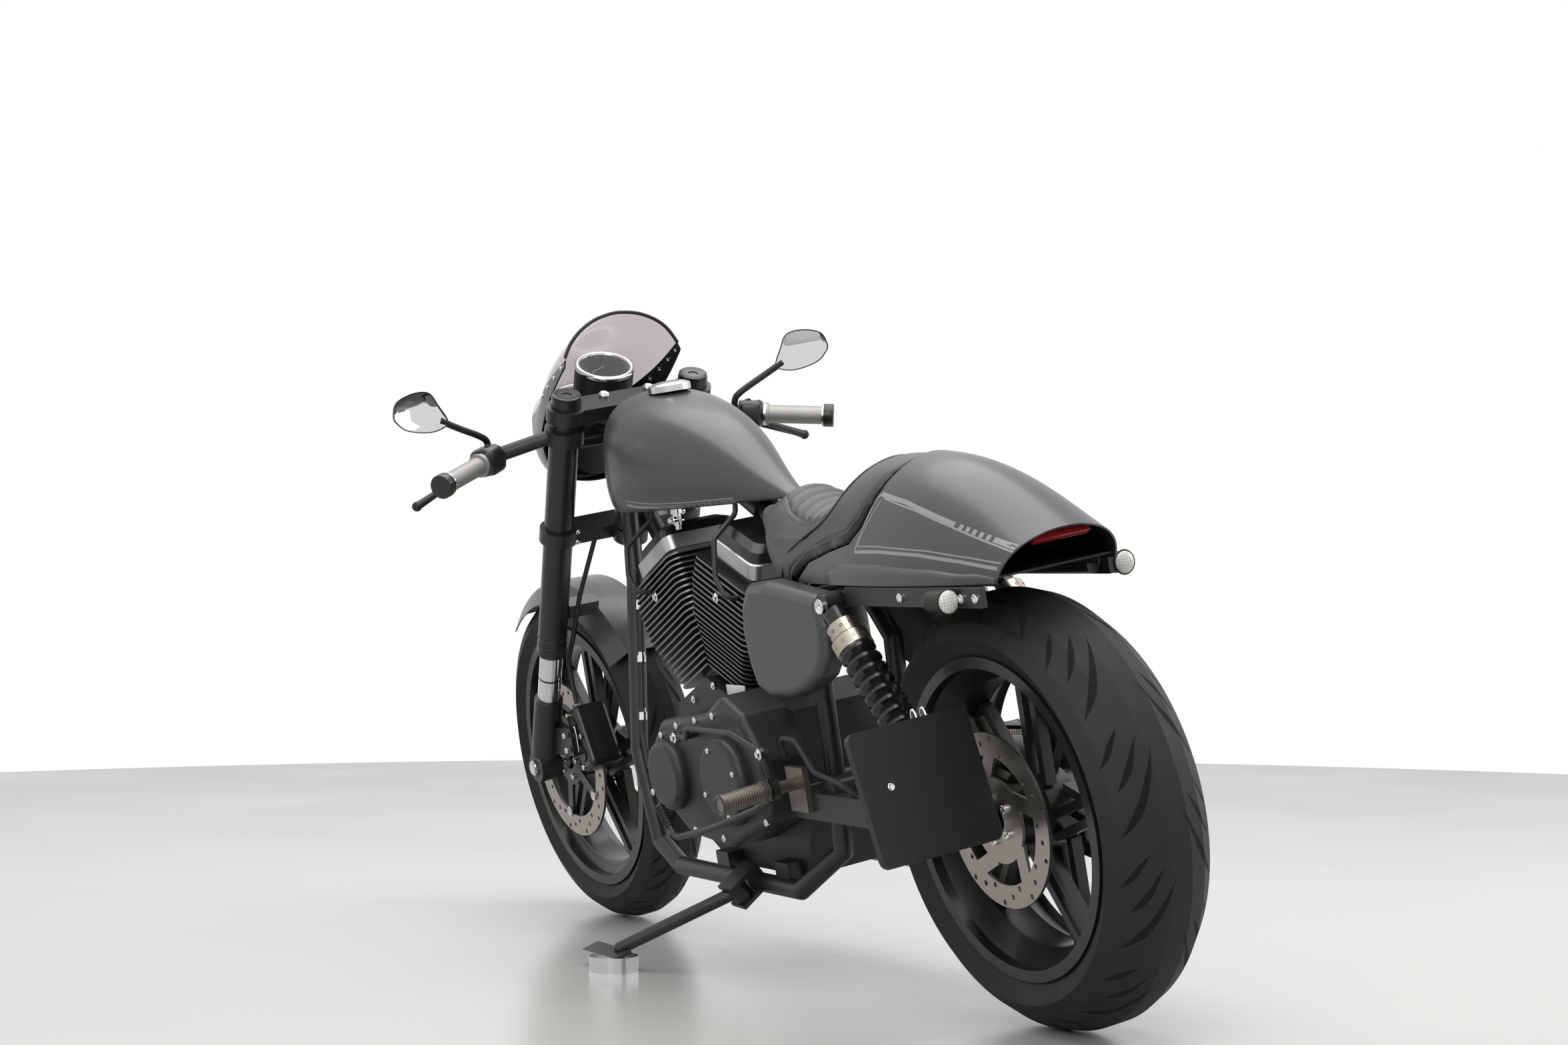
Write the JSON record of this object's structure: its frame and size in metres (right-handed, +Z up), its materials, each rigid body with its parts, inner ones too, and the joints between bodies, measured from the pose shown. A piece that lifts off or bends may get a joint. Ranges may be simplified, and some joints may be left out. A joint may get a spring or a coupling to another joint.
{
  "type": "cafe racer motorcycle",
  "caption": "Cafe racer motorcycle with a finned V-twin, swept clip-on bars, small fairing and solo tail, parked leaning on its side stand.",
  "frame": {"origin": "bottom centre of the bounding box, on the floor that the tyres and stand block rest on", "axes": "+X forward, +Y to the rider's left, +Z up; the machine leans to +Y"},
  "size_m": [2.1552, 0.8734, 1.1383],
  "materials": {
    "black_engine": "satin",
    "black_exhaust": "satin",
    "black_fins": "satin",
    "black_frame": "satin",
    "black_leather": "satin",
    "black_plastic": "matte",
    "black_rim": "satin",
    "black_rubber": "matte",
    "black_spring": "gloss",
    "bright_steel": "polished",
    "charcoal_cover": "satin",
    "disc_steel": "satin",
    "grey_paint": "satin",
    "gunmetal": "satin",
    "polished_alloy": "polished",
    "red_lens": "gloss",
    "silver_alloy": "satin",
    "silver_grip": "satin",
    "smoke_screen": "gloss",
    "tyre_rubber": "matte"
  },
  "bodies": {
    "root": {"frame_tubes": "black_frame", "swingarm": "black_frame", "axle_rear": "bright_steel", "engine_case": "black_engine", "primary_cover": "charcoal_cover", "cylinders": "black_fins", "rocker_boxes": "silver_alloy", "air_cleaner": "charcoal_cover", "exhaust": "black_exhaust", "fuel_tank": "grey_paint", "filler_cap": "polished_alloy", "seat": "black_leather", "tail_shell": "grey_paint", "tail_lamp": "red_lens", "mudguard_rear": "black_plastic", "fender_struts": "black_frame", "indicators": "black_plastic", "side_covers": "grey_paint", "shocks": "black_spring", "caliper_rear": "black_frame", "drive_belt": "black_rubber", "plate_holder": "black_plastic", "footpegs": "gunmetal", "foot_controls": "black_frame", "cables": "black_rubber"},
    "steering": {"yokes": "black_frame", "fork_legs": "black_frame", "axle_front": "bright_steel", "handlebars": "black_frame", "grips": "silver_grip", "bar_controls": "black_plastic", "mirrors": "black_frame", "gauge": "black_plastic", "headlamp": "bright_steel", "fairing": "grey_paint", "windscreen": "smoke_screen", "mudguard_front": "grey_paint", "calipers_front": "black_frame", "brake_hoses": "black_rubber"},
    "front_wheel": {"tyre_front": "tyre_rubber", "rim_front": "black_rim", "discs_front": "disc_steel"},
    "rear_wheel": {"tyre_rear": "tyre_rubber", "rim_rear": "black_rim", "disc_rear": "disc_steel", "pulley_rear": "black_rim"},
    "side_stand": {"side_stand": "black_frame", "stand_puck": "polished_alloy"}
  },
  "joints": [
    {"name": "steering", "type": "hinge", "parent": "root", "child": "steering", "pos_m": [0.45175, -0.04323, 0.78799], "axis": [-0.4833, 0.161, 0.8605], "range_deg": [-27, 27]},
    {"name": "front_wheel_spin", "type": "hinge", "parent": "steering", "child": "front_wheel", "pos_m": [0.75338, -0.13055, 0.32139], "axis": [0, 0.9829, -0.184], "continuous": true},
    {"name": "rear_wheel_spin", "type": "hinge", "parent": "root", "child": "rear_wheel", "pos_m": [-0.75162, -0.13013, 0.32365], "axis": [0, 0.9829, -0.184], "continuous": true},
    {"name": "stand_fold", "type": "hinge", "parent": "root", "child": "side_stand", "pos_m": [-0.02962, -0.01045, 0.13684], "axis": [-0.043, 0.6627, 0.7476], "range_deg": [0, 112]}
  ]
}
